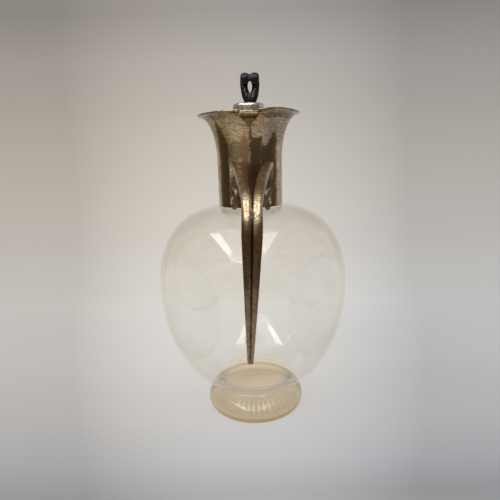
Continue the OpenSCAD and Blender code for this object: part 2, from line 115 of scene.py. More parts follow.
class Finish:
    """A material under construction. add() makes any node, sets it up and links it."""

    def __init__(self, name, tree=None):
        if tree is None:
            self.material = bpy.data.materials.new(name)
            self.material.use_nodes = True
            tree = self.material.node_tree
        self.tree = tree
        self.tree.nodes.clear()

    def add(self, kind, settings=None, sockets=None, out=0):
        node = self.tree.nodes.new(kind)
        for name, value in (settings or {}).items():
            if name == "stops":
                ramp = node.color_ramp.elements
                while len(ramp) < len(value):
                    ramp.new(0.5)
                for element, (position, colour) in zip(ramp, value):
                    element.position = position
                    element.color = (*colour[:3], 1)
            else:
                setattr(node, name, value)
        for name, value in (sockets or {}).items():
            if isinstance(value, Wire):
                self.tree.links.new(value.socket, node.inputs[name])
            else:
                node.inputs[name].default_value = value
        if isinstance(out, tuple):
            return tuple(Wire(self, node.outputs[name]) for name in out)
        return Wire(self, node.outputs[out]) if node.outputs else None

    def place(self):
        """Where a point lies on the piece, in metres, in the jug's own frame."""
        return self.add("ShaderNodeTexCoord", out="Object")

    def axes(self, vector):
        return self.add("ShaderNodeSeparateXYZ", sockets={0: vector}, out=(0, 1, 2))

    def stretch(self, vector, x, y, z):
        return self.add("ShaderNodeVectorMath", {"operation": "MULTIPLY"},
                        {0: vector, 1: (x, y, z)})

    def noise(self, vector, scale, detail=3, rough=0.55, warp=0):
        return self.add("ShaderNodeTexNoise", sockets={
            "Vector": vector, "Scale": scale, "Detail": detail, "Roughness": rough,
            "Distortion": warp})

    def mix(self, share, low, high, blend="MIX"):
        return self.add("ShaderNodeMix", {"data_type": "RGBA", "blend_type": blend},
                        {0: share, 6: low, 7: high}, out=2)

    def bump(self, height, strength, distance, normal=None):
        sockets = {"Height": height, "Strength": strength, "Distance": distance}
        if normal is not None:
            sockets["Normal"] = normal
        return self.add("ShaderNodeBump", sockets=sockets)

    def surface(self, **sockets):
        """A Principled shader. Its sockets are named with _ for each space."""
        named = {name.replace("_", " "): value for name, value in sockets.items()}
        return self.add("ShaderNodeBsdfPrincipled", sockets=named)

    def output(self, shader, volume=None):
        """Ends the material with its surface, and with what fills the piece."""
        sockets = {"Surface": shader}
        if volume is not None:
            sockets["Volume"] = volume
        self.add("ShaderNodeOutputMaterial", sockets=sockets)
        return self.material


def rgb(red, green, blue):
    """A colour as it is seen, on a scale to 255, as the linear colour that a shader takes."""
    def linear(level):
        share = level / 255
        return share / 12.92 if share <= 0.04045 else ((share + 0.055) / 1.055) ** 2.4
    return (linear(red), linear(green), linear(blue), 1)


def add_mesh(name, points, faces, crease=None):
    """A mesh object from points in millimetres, smooth but for edges sharper than crease."""
    mesh = bpy.data.meshes.new(name)
    mesh.from_pydata([Vector(p) * MM for p in points], [], faces)
    mesh.update()
    mesh.shade_smooth()
    if crease:
        mesh.set_sharp_from_angle(angle=radians(crease))
    piece = bpy.data.objects.new(name, mesh)
    bpy.context.scene.collection.objects.link(piece)
    return piece


def grid_faces(rows, columns, wrap):
    """Quads between rows of points, where wrap joins each row's last point to its first."""
    faces = []
    for i in range(rows - 1):
        for j in range(columns if wrap else columns - 1):
            k = (j + 1) % columns
            faces.append((i * columns + j, i * columns + k,
                          (i + 1) * columns + k, (i + 1) * columns + j))
    return faces


PAPER_HALF, PAPER_BACK, PAPER_HIGH = 740, 620, 2200
PAPER_BEND, BEND_STEPS = 320, 24
TABLE_END, FRONT_END, PAPER_Z = -650, -2600, -0.05


def lay_paper(name, line):
    """A strip of the paper along a line of (y, z) points, as wide as the sheet."""
    strip = add_mesh(name, [(x, y, z) for y, z in line for x in (-PAPER_HALF, PAPER_HALF)],
                     grid_faces(len(line), 2, False))
    return strip


bend_y = PAPER_BACK - PAPER_BEND
paper_line = [(TABLE_END, PAPER_Z), (bend_y, PAPER_Z)]
for i in range(1, BEND_STEPS):
    turn = radians(90 * i / BEND_STEPS)
    paper_line.append((bend_y + PAPER_BEND * sin(turn), PAPER_BEND * (1 - cos(turn))))
paper_line += [(PAPER_BACK, PAPER_BEND), (PAPER_BACK, PAPER_HIGH)]
paper = lay_paper("paper_sheet", paper_line)
# The sheet runs on in front for the eye, but polished metal looks past the table's edge
paper_front = lay_paper("paper_front", [(FRONT_END, PAPER_Z), (TABLE_END, PAPER_Z)])
paper_front.visible_glossy = False
finish = Finish("paper")
x, y, z = finish.axes(finish.place())
# How far along the sheet a point lies, and how far to the side of the lit middle strip
along = y + z
spread = along * 0.42 - along * along * 0.225 + 0.155
across = (x + along * 0.018 + 0.006) / spread.math("MAXIMUM", 0.10)
fall = (across * across).math("MINIMUM", 1.2) * along.step(-0.45, -0.12)
TONES_LONG, TONES_START, SIDE_DIM = 1.6, 0.25, 0.23
# Painted lamplight along the sheet, and painted shade towards its sides
shade = finish.add("ShaderNodeValToRGB", {"stops": [
    (0.0, rgb(184, 184, 184)), (0.10, rgb(176, 176, 177)), (0.177, rgb(169, 169, 171)),
    (0.197, rgb(188, 189, 191)), (0.228, rgb(203, 203, 204)), (0.294, rgb(218, 218, 217)),
    (0.419, rgb(226, 225, 222)), (0.582, rgb(211, 207, 201)), (0.719, rgb(203, 198, 190)),
    (0.825, rgb(196, 191, 183)), (0.907, rgb(180, 175, 169)), (0.969, rgb(158, 153, 149)),
]}, {0: along / TONES_LONG + TONES_START})
dim = finish.mix(fall * SIDE_DIM, shade, (0, 0, 0, 1))
tint = finish.mix(across.step(-1.0, 1.0), (1.015, 1.0, 0.985, 1), (0.985, 1.0, 1.025, 1))
finish.output(finish.surface(Base_Color=finish.mix(1, dim, tint, "MULTIPLY"), Roughness=0.9,
                             Specular_IOR_Level=0.0))
for strip in (paper, paper_front):
    strip.data.materials.append(finish.material)


# ---- Room and lamps ----------------------------------------------------------------------
# Soft daylight from above, and a dim, brown room in front of the table that only the polished
# metal and the face of the glass show.

world = bpy.data.worlds.new("room")
world.use_nodes = True
bpy.context.scene.world = world
finish = Finish("room", world.node_tree)
x, y, z = finish.axes(finish.place())
turn = x.math("ARCTAN2", y * -1) / (2 * pi) + 0.5
walls = finish.add("ShaderNodeValToRGB", {"stops": [
    (0.0, (0.60, 0.57, 0.52)), (0.13, (0.55, 0.50, 0.43)), (0.19, (0.24, 0.20, 0.15)),
    (0.30, (0.26, 0.22, 0.17)), (0.42, (0.42, 0.37, 0.31)), (0.50, (0.30, 0.26, 0.22)),
    (0.60, (0.24, 0.21, 0.17)), (0.74, (0.24, 0.20, 0.16)), (0.80, (0.50, 0.47, 0.43)),
    (1.0, (0.60, 0.57, 0.52))]}, {0: turn})
ceiling = finish.mix(z.step(0.22, 0.5), walls, (0.42, 0.41, 0.39, 1))
rays = finish.add("ShaderNodeLightPath", out=("Is Glossy Ray", "Transmission Depth"))
# Only a mirrored ray that hasn't passed through glass sees the room, and the rest see soft white
room_seen = rays[0] * rays[1].step(0.9, 0.1)
daylight = finish.add("ShaderNodeBackground", sockets={
    "Color": finish.mix(room_seen, (0.74, 0.735, 0.73, 1), ceiling), "Strength": 1.0})
finish.add("ShaderNodeOutputWorld", sockets={"Surface": daylight})


def add_lamp(name, place, aim, width, height, power, colour=(1, 1, 1)):
    """A soft rectangular lamp, in millimetres, turned towards a point."""
    data = bpy.data.lights.new(name, "AREA")
    data.shape = "RECTANGLE"
    data.size = width * MM
    data.size_y = height * MM
    data.energy = power
    data.color = colour
    lamp = bpy.data.objects.new(name, data)
    bpy.context.scene.collection.objects.link(lamp)
    lamp.location = Vector(place) * MM
    lamp.rotation_euler = (Vector(aim) - Vector(place)).to_track_quat("-Z", "Y").to_euler()
    lamp.visible_glossy = False
    lamp.visible_transmission = False


add_lamp("soft_left", (-900, -500, 1100), (0, 0, 120), 900, 900, 9, (1.0, 0.985, 0.965))
add_lamp("soft_right", (1000, -300, 900), (0, 0, 150), 700, 700, 5, (0.97, 0.98, 1.0))


def add_pane(name, plan, high, level):
    """A bright pane of the skylight that only reflections see, given in millimetres."""
    pane = add_mesh(name, [(x, y, high) for x, y in plan], [tuple(range(len(plan)))])
    pane.visible_camera = False
    pane.visible_diffuse = False
    pane.visible_shadow = False
    finish = Finish(name)
    pane.data.materials.append(finish.output(finish.add(
        "ShaderNodeEmission", sockets={"Color": (1.0, 0.995, 0.985, 1), "Strength": level})))


SKY_Z, PANE_Z = 1220, 1216
add_pane("skylight", ((-740, 224), (484, 62), (400, -1500), (-780, -1500)), SKY_Z, 1.8)
add_pane("skylight_left", ((-768, 184), (-540, 30), (-540, -897), (-722, -1079)), PANE_Z, 8.5)
add_pane("skylight_right", ((180, -129), (460, -14), (428, -855), (305, -1181)), PANE_Z, 5.0)
add_pane("skylight_bar", ((-767, -1150), (-300, -1350), (-300, -1410), (-775, -1215)), PANE_Z, 9.0)
add_pane("skylight_end", ((-791, -1400), (-300, -1620), (-300, -1690), (-800, -1480)), PANE_Z, 8.0)


# ---- Glass body and foot -----------------------------------------------------------------
# Blown glass with four soft dimples pressed in while hot, on a thick foot that is fused on and
# cut with a star beneath. The metal has a straw tint that shows where the glass is thick.

BELLY_R, BELLY_Z = 81, 118
SHOULDER_Z, BODY_LOW_Z = 184.6, 20
SHOULDER_FULL, BASE_FULL = 3.5, 2.8
WALL, BOWL_DIP = 2.6, 1.6
NECK_R, NECK_TOP_Z, NECK_EDGE, ROOT_CURVE = 23.4, 221, 0.3, 3.6
DIMPLE_R, DIMPLE_DEPTH, DIMPLE_Z, DIMPLE_EDGE = 130, 13, 107, 1.0
DROP_AT, DROP_R = (51.5, -53.7, 150.8), 1.3
FILM_FULL_Z, PETAL_LOW_Z, PETAL_HIGH_Z = 155, 70, 92
BOWL_TOP_Z, DREGS_IN_R, DREGS_OUT_R, JOIN_R = 60, 23, 37, 24.6
FOOT_R, WAIST_R = 43.8, 27
FOOT_EDGE_W, FOOT_EDGE_Z, FOOT_SHOULDER_Z, FOOT_UNDER_W = 9, 5.5, 16, 2.5
STAR_CUTS, STAR_IN_R, STAR_OUT_R, STAR_DEPTH = 36, 13, 28, 0.45
SWAY_IN_R = 20
ROUND = 360


def arc(centre, half_w, half_h, start, end, steps):
    """Points along part of an ellipse, with angles in degrees."""
    points = []
    for i in range(steps + 1):
        turn = radians(start + (end - start) * i / steps)
        points.append((centre[0] + half_w * cos(turn), centre[1] + half_h * sin(turn)))
    return points


def egg(turn):
    """The body's outer curve: 0 degrees at the belly and 90 at the shoulder's crest."""
    angle = radians(turn)
    if turn >= 0:
        return (BELLY_R * cos(angle) ** (2 / SHOULDER_FULL),
                BELLY_Z + (SHOULDER_Z - BELLY_Z) * sin(angle))
    return (BELLY_R * cos(angle) ** (2 / BASE_FULL),
            BELLY_Z + (BELLY_Z - BODY_LOW_Z) * sin(angle))


def inner_egg(turn):
    """The body's inner curve, a wall's thickness inside the outer one."""
    (r0, z0), (r1, z1) = egg(turn - 0.2), egg(turn + 0.2)
    long = hypot(r1 - r0, z1 - z0)
    r, z = egg(turn)
    return r - WALL * (z1 - z0) / long, z + WALL * (r1 - r0) / long


def soft_min(a, b, width):
    """The smaller of two numbers, rounded over where they are nearly equal."""
    near = max(width - abs(a - b), 0) / width
    return min(a, b) - near * near * width / 4


def dimpled(r, z, turn, wall):
    """The radius at a height, pressed in by a dimple, and how far that is past its edge."""
    off = (degrees(turn) + 360) % 90 - 45
    centre = BELLY_R - DIMPLE_DEPTH + DIMPLE_R
    reach = (DIMPLE_R + wall) ** 2 - (z - DIMPLE_Z) ** 2 - (centre * sin(radians(off))) ** 2
    if reach <= 0:
        return r, -DIMPLE_DEPTH
    pressed = centre * cos(radians(off)) - sqrt(reach)
    return soft_min(r, pressed, DIMPLE_EDGE), r - pressed


def ease(value, low, high):
    """0 at low and 1 at high, with a soft rise between them."""
    share = min(max((value - low) / (high - low), 0), 1)
    return share * share * (3 - 2 * share)


def film_and_shade_line_at(point, past):
    """How much dried wine clings to the wall, on the shoulder and low in each dimple, with a
    painted shade line on each dimple's edge.
    """
    x, y, z = point
    inside = ease(past, -0.1, 0.4)
    shoulder = 0.12 + 0.88 * ease(z, BELLY_Z, FILM_FULL_Z)
    petal = 0.12 + 1.3 * (1 - ease(z, PETAL_LOW_Z, PETAL_HIGH_Z))
    # A painted shade line along the crease at each dimple's edge
    edge = 2.2 * exp(-(past / 0.3) ** 2)
    drop = 9 * exp(-(hypot(x - DROP_AT[0], y - DROP_AT[1], z - DROP_AT[2]) / DROP_R) ** 2)
    return (1 - inside) * shoulder + inside * petal + edge + drop


def dregs_at(reach, z):
    """Beige dregs dried in the bowl, with a ring where the foot is joined on beneath."""
    if z > BOWL_TOP_Z:
        return 0
    settled = 13 * (1 - ease(reach, DREGS_IN_R, DREGS_OUT_R))
    return settled - 5 * exp(-((reach - JOIN_R) / 0.5) ** 2)


root_r = NECK_R + ROOT_CURVE
low_turn = -degrees(acos((WAIST_R / BELLY_R) ** (BASE_FULL / 2)))
high_turn = degrees(acos((root_r / BELLY_R) ** (SHOULDER_FULL / 2)))
foot_top_z = egg(low_turn)[1]
root_z = egg(high_turn)[1] + ROOT_CURVE
foot_in_r = FOOT_R - FOOT_EDGE_W
neck_in_r = NECK_R - WALL
EGG_STEPS, STAR_STEPS = 150, 10
egg_turns = [low_turn + (high_turn - low_turn) * i / EGG_STEPS for i in range(EGG_STEPS + 1)]
star_r = [STAR_IN_R + (STAR_OUT_R - STAR_IN_R) * i / STAR_STEPS for i in range(STAR_STEPS + 1)]
# Each point of the outline has a radius, a height and what is done to it round the jug
outline = [(0, 0, None), (STAR_IN_R - 2, 0, None)]
outline += [(r, 0, "star") for r in star_r]
outline += [(r, z, None) for r, z in (
    arc((FOOT_R - FOOT_UNDER_W, FOOT_EDGE_Z), FOOT_UNDER_W, FOOT_EDGE_Z, -90, 0, 8)
    + arc((foot_in_r, FOOT_EDGE_Z), FOOT_EDGE_W, FOOT_SHOULDER_Z - FOOT_EDGE_Z, 8, 90, 12)
    + arc((foot_in_r, foot_top_z), foot_in_r - WAIST_R, foot_top_z - FOOT_SHOULDER_Z, 260, 190, 8))]
outline += [(*egg(turn), "outer") for turn in egg_turns]
outline += [(r, z, None) for r, z in (
    arc((root_r, root_z), ROOT_CURVE, ROOT_CURVE, 260, 180, 8)
    + [(NECK_R, NECK_TOP_Z - NECK_EDGE), (NECK_R - NECK_EDGE, NECK_TOP_Z),
       (neck_in_r + NECK_EDGE, NECK_TOP_Z), (neck_in_r, NECK_TOP_Z - NECK_EDGE)]
    + arc((root_r, root_z), ROOT_CURVE + WALL, ROOT_CURVE + WALL, 180, 250, 8))]
outline += [(*inner_egg(turn), "inner") for turn in reversed(egg_turns)]
bowl_r, bowl_z = inner_egg(low_turn)
outline += [(bowl_r * share, bowl_z - BOWL_DIP * (1 - share ** 2), "bowl")
            for share in (0.9, 0.75, 0.55, 0.35, 0.15)]
outline += [(0, bowl_z - BOWL_DIP, None)]

points, rows, film = [], [], []
for r, z, role in outline:
    if r == 0:
        rows.append([len(points)])
        points.append((0, 0, z))
        film.append(dregs_at(0, z) if z else 0)
        continue
    rows.append(list(range(len(points), len(points) + ROUND)))
    for j in range(ROUND):
        turn = 2 * pi * j / ROUND
        reach, high, past = r, z, -DIMPLE_DEPTH
        if role == "outer":
            reach, past = dimpled(r, z, turn, 0)
        elif role == "inner":
            sway = 0.16 * sin(3 * turn + z / 11) + 0.11 * sin(5 * turn - z / 7 + 1)
            reach, past = dimpled(r, z, turn, WALL)
            reach += sway * min((r - SWAY_IN_R) / SWAY_IN_R, 1)
        elif role == "star":
            across = abs((j * STAR_CUTS / ROUND) % 1 - 0.5) * 2
            along = (r - STAR_IN_R) / (STAR_OUT_R - STAR_IN_R)
            ground = max(0, 1 - across / 0.8) * min(1, 6 * along, 6 * (1 - along))
            high = STAR_DEPTH * ground
        points.append((reach * cos(turn), reach * sin(turn), high))
        # Above 0 it's wine film and dregs, with painted shade lines on the dimples' edges and
        # between the star's cuts, and below 0 it's the frost of a ground cut
        if role == "star":
            film.append(0.8 - 2.3 * ground)
        else:
            dried = film_and_shade_line_at(points[-1], past) if role in ("outer", "inner") else 0
            film.append(dried + (dregs_at(reach, z) if role in ("bowl", "inner") else 0))
faces = []
for below, above in zip(rows, rows[1:]):
    for j in range(ROUND):
        k = (j + 1) % ROUND
        if len(below) == 1:
            faces.append((below[0], above[k], above[j]))
        elif len(above) == 1:
            faces.append((below[j], below[k], above[0]))
        else:
            faces.append((below[j], below[k], above[k], above[j]))
glass = add_mesh("glass_vessel", points, faces, crease=38)
glass.data.attributes.new("film", "FLOAT", "POINT").data.foreach_set("value", film)
finish = Finish("clear_glass")
place = finish.place()
x, y, z = finish.axes(place)
ripple = finish.noise(finish.stretch(place, 1, 1, 0.6), 26, detail=2)
wave = finish.bump(ripple, 0.10, 0.002)
cast = finish.surface(Base_Color=(0.90, 0.79, 0.60, 1), Roughness=0.0, IOR=1.5,
                      Transmission_Weight=1.0, Normal=wave)
# The thin walls hardly bend light: it passes straight through, or is mirrored at a slant
slant = finish.add("ShaderNodeLayerWeight", sockets={"Blend": 0.5}, out="Facing")
mirror = finish.surface(Base_Color=(1, 1, 1, 1), Metallic=1.0, Roughness=0.0, Normal=wave)
clear = finish.add("ShaderNodeBsdfTransparent", sockets={"Color": (1, 0.997, 0.987, 1)})
straw = finish.add("ShaderNodeBsdfTransparent", sockets={"Color": (0.64, 0.48, 0.27, 1)})
# The foot is straw-coloured, deeper and mottled on the half under the handle, and a painted
# shade darkens its lower edge like a contact shadow
foot = z.step(0.022, 0.012)
above_base = z.step(0.0005, 0.002)
painted_edge_shade = z.step(0.0062, 0.0040)
handle_half = y.step(0.008, -0.022)
specks = finish.noise(place, 800, detail=4).step(0.35, 0.7)
through = finish.add("ShaderNodeMixShader", sockets={
    0: foot * above_base * (slant ** 3 + painted_edge_shade + handle_half * (specks * 0.4 + 0.42) + 0.12),
    1: clear, 2: straw})
blown = finish.add("ShaderNodeMixShader", sockets={
    0: slant ** 5 * 0.96 + foot * 0.045 + 0.025, 1: through, 2: mirror})
# Wine film on the walls is smeared, and the beige dregs in the bowl lie evenly. The painted
# shade lines on the dimples' edges and between the star's cuts take the same colour
clinging_and_shade_lines = finish.add("ShaderNodeAttribute", {"attribute_name": "film"}, out="Fac")
smears = finish.noise(finish.stretch(place, 1, 1, 2.5), 42, detail=5, rough=0.62, warp=0.6)
in_bowl = z.step(0.055, 0.035)
bloom_and_shade_lines = finish.surface(Base_Color=finish.mix(in_bowl, rgb(176, 156, 118), rgb(222, 201, 166)),
                       Roughness=1.0, Specular_IOR_Level=0.0)
cover = (smears.step(0.30, 0.72) * z.step(0.035, 0.055) * 0.04 + in_bowl * 0.022 + 0.012
         + z.step(0.012, 0.004) * 0.22)
filmed_and_shaded = finish.add("ShaderNodeMixShader", sockets={
    0: clinging_and_shade_lines.math("MAXIMUM", 0) * cover, 1: blown, 2: bloom_and_shade_lines})
frost = finish.surface(Base_Color=rgb(250, 244, 228), Roughness=0.6)
starred = finish.add("ShaderNodeMixShader", sockets={
    0: (clinging_and_shade_lines * -1).math("MAXIMUM", 0) * (handle_half * 0.6 + 0.15), 1: filmed_and_shaded, 2: frost})
# Only the foot is thick enough to bend light, and most on the handle's side above its edge
THIN_NEAR, THIN_FAR = 0.40, 0.90
bends = y.step(0.004, -0.016) * z.step(0.0040, 0.0062)
thin = THIN_FAR - bends * (THIN_FAR - THIN_NEAR)
metal = finish.add("ShaderNodeMixShader", sockets={
    0: thin + z.step(0.017, 0.023) * (1 - thin), 1: cast, 2: starred})
# Light from the lamps and the room passes straight through, so the glass throws no dark shadow
passed = finish.add("ShaderNodeBsdfTransparent", sockets={"Color": (0.98, 0.97, 0.95, 1)})
rays = finish.add("ShaderNodeLightPath", out=("Is Shadow Ray", "Is Diffuse Ray"))
finish.output(
    finish.add("ShaderNodeMixShader", sockets={
        0: rays[0].math("MAXIMUM", rays[1]), 1: metal, 2: passed}),
    volume=finish.add("ShaderNodeVolumeAbsorption",
                      sockets={"Color": (0.667, 0.563, 0.333, 1), "Density": 5.5}),
)
glass.data.materials.append(finish.material)
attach(glass, "jug")
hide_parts("glass_body", "glass_foot")


# ---- Plaster bed -------------------------------------------------------------------------
# Fine white plaster that was run in wet between the glass neck and the collar, and holds the
# two together. Only its lower edge shows, through the glass.

finish = Finish("plaster")
grain = finish.noise(finish.place(), 900)
finish.output(finish.surface(
    Base_Color=finish.mix(grain, rgb(196, 186, 168), rgb(226, 220, 206)), Roughness=0.9,
    Normal=finish.bump(grain, 0.3, 0.0004)))


def dress(material, *names):
    """Gives pieces that keep their CAD shape their finish."""
    for name in names:
        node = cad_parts[name]
        node.data.materials.clear()
        node.data.materials.append(material)


dress(finish.material, "plaster_bed")


# ---- Collar ------------------------------------------------------------------------------
# Plated sheet rolled into a tube, seamed down the handle's side and beaten out into a trumpet
# mouth. Its edge isn't quite level, and years of tarnish and polish have pitted it.

COLLAR_R, SHEET, EDGE_ROUND = 27, 0.8, 0.15
FLARE_Z, FLARE_H, FLARE_W, FLARE_END = 222, 35.5, 14.8, 84
RIM_R = COLLAR_R + FLARE_W * (1 - cos(radians(FLARE_END)))
RIM_Z = FLARE_Z + FLARE_H * sin(radians(FLARE_END))
LIFT_FROM_Z, SEAM_AT = 240, 0.9


def flare(turn):
    """The trumpet's outer curve: 0 degrees where it leaves the tube and FLARE_END at the rim."""
    angle = radians(turn)
    return COLLAR_R + FLARE_W * (1 - cos(angle)), FLARE_Z + FLARE_H * sin(angle)


def flare_inward(turn):
    """The direction from the trumpet's outer curve to its inner one."""
    angle = radians(turn)
    r, z = -FLARE_H * cos(angle), FLARE_W * sin(angle)
    return r / hypot(r, z), z / hypot(r, z)


def rim_rise(turn):
    """How far the beaten edge stands above or below its even line, round the jug."""
    off = turn + pi / 2
    while off > pi:
        off -= 2 * pi
    return (0.55 * sin(off + 0.5) - 0.75 * exp(-(off / 0.30) ** 2)
            + 0.75 * exp(-((off - 0.62) / 0.28) ** 2) + 0.15 * sin(3 * off + 1))


def turned(name, outline, crease=35, lift=None):
    """A piece turned on a lathe from a closed outline, with its edge lifted where asked."""
    points = []
    for r, z in outline:
        for j in range(ROUND):
            turn = 2 * pi * j / ROUND
            rise = lift(turn, r, z) if lift else 0
            points.append((r * cos(turn), r * sin(turn), z + rise))
    count = len(outline)
    faces = grid_faces(count, ROUND, True)
    for j in range(ROUND):
        k = (j + 1) % ROUND
        faces.append(((count - 1) * ROUND + j, (count - 1) * ROUND + k, k, j))
    return add_mesh(name, points, faces, crease)


def flare_lift(turn, r, z):
    """The rim's rise and fall, which dies out down the trumpet."""
    share = min(max((z - LIFT_FROM_Z) / (RIM_Z - LIFT_FROM_Z), 0), 1)
    return rim_rise(turn) * share * share


def block(name, low, high):
    """A cutting block between two corners, in millimetres."""
    (x0, y0, z0), (x1, y1, z1) = low, high
    corners = [(x, y, z) for z in (z0, z1) for x, y in ((x0, y0), (x1, y0), (x1, y1), (x0, y1))]
    return add_mesh(name, corners, [(3, 2, 1, 0), (4, 5, 6, 7), (0, 1, 5, 4), (1, 2, 6, 5),
                                    (2, 3, 7, 6), (3, 0, 4, 7)])


def settle(piece):
    """Turns the piece's modifiers into its mesh."""
    depsgraph = bpy.context.evaluated_depsgraph_get()
    mesh = bpy.data.meshes.new_from_object(piece.evaluated_get(depsgraph))
    piece.modifiers.clear()
    piece.data = mesh


def cut(piece, *tools, operation="DIFFERENCE"):
    """The piece with each tool cut from it, or joined to it, and the tools thrown away."""
    for tool in tools:
        step = piece.modifiers.new("cut", "BOOLEAN")
        step.operation = operation
        step.solver = "EXACT"
        step.object = tool
        settle(piece)
        bpy.data.objects.remove(tool)


HINGE_Y, HINGE_Z = 40.4, RIM_Z - 2.4
KNUCKLE_R, KNUCKLE_GAP = 1.7, 0.3
LID_KNUCKLE, OUTER_KNUCKLE = 4.4, 4.0
HINGE_LEN = LID_KNUCKLE + 2 * KNUCKLE_GAP + 2 * OUTER_KNUCKLE
SLOT_W = LID_KNUCKLE + 2 * KNUCKLE_GAP
NOTCH_Y = HINGE_Y - KNUCKLE_R - KNUCKLE_GAP
SLOT_Y, STRAP_UNDER_Z = 34.2, HINGE_Z + 0.4
PAST_RIM_Y, PAST_RIM_Z = 46, 264


def notch_tools():
    """The cutting blocks for the hinge: a slot for the lid's strap and a notch for the knuckles."""
    return (
        block("cut_slot", (-SLOT_W / 2, -PAST_RIM_Y, STRAP_UNDER_Z - KNUCKLE_GAP),
              (SLOT_W / 2, -SLOT_Y, PAST_RIM_Z)),
        block("cut_notch", (-HINGE_LEN / 2 - KNUCKLE_GAP, -PAST_RIM_Y, HINGE_Z - KNUCKLE_R),
              (HINGE_LEN / 2 + KNUCKLE_GAP, -NOTCH_Y, PAST_RIM_Z)),
    )


FLARE_STEPS, TUBE_STEPS = 40, 12
flare_turns = [FLARE_END * i / FLARE_STEPS for i in range(FLARE_STEPS + 1)]
flare_outer = [flare(turn) for turn in flare_turns]
flare_inner = []
for turn in reversed(flare_turns):
    (r, z), (dr, dz) = flare(turn), flare_inward(turn)
    flare_inner.append((r + SHEET * dr, z + SHEET * dz))
straight = [SHOULDER_Z + (FLARE_Z - SHOULDER_Z) * i / TUBE_STEPS for i in range(TUBE_STEPS)]
collar = turned(
    "collar_sheet",
    [(COLLAR_R - SHEET, SHOULDER_Z + 0.1), (COLLAR_R - EDGE_ROUND, SHOULDER_Z)]
    + [(COLLAR_R, z + EDGE_ROUND) for z in straight] + flare_outer + flare_inner
    + [(COLLAR_R - SHEET, z + 0.2) for z in reversed(straight)],
    lift=flare_lift,
)
cut(collar, *notch_tools())


def plate_finish(name, bright, brown, dark, marks=None, grain=(1, 1, 15), dull=0.12):
    """Old silver plate: bright where it's rubbed, brown where it's tarnished, and pitted."""
    finish = Finish(name)
    place = finish.place()
    clouds = finish.noise(place, 55, detail=5, rough=0.6, warp=0.4)
    drag = [1 + (stretch - 1) / 4 for stretch in grain]
    streaks = finish.noise(finish.stretch(place, *drag), 160, detail=5, rough=0.65)
    pits = finish.noise(finish.stretch(place, 1, 1, 2.2), 620, detail=3)
    dents = finish.noise(place, 210, detail=2)
    tone_mark = clouds.step(0.42, 0.66)
    colour = finish.mix(tone_mark, bright, brown)
    if marks:
        colour = marks(finish, place, colour)
    scratches = finish.noise(finish.stretch(place, *grain), 170, detail=3)
    colour = finish.mix(streaks.step(0.50, 0.68) * 0.6, colour, dark)
    colour = finish.mix(pits.step(0.53, 0.66) * 0.7, colour, dark)
    colour = finish.mix(scratches.step(0.58, 0.68) * 0.5, colour, dark)
    rough = dull + tone_mark * 0.08 + streaks.step(0.5, 0.7) * 0.14
    bump = finish.bump(dents, 0.30, 0.0012)
    bump = finish.bump(streaks, 0.35, 0.0006, bump)
    bump = finish.bump(pits, 0.35, 0.0003, bump)
    return finish.output(finish.surface(Base_Color=colour, Metallic=1.0, Roughness=rough,
                                        Normal=bump))


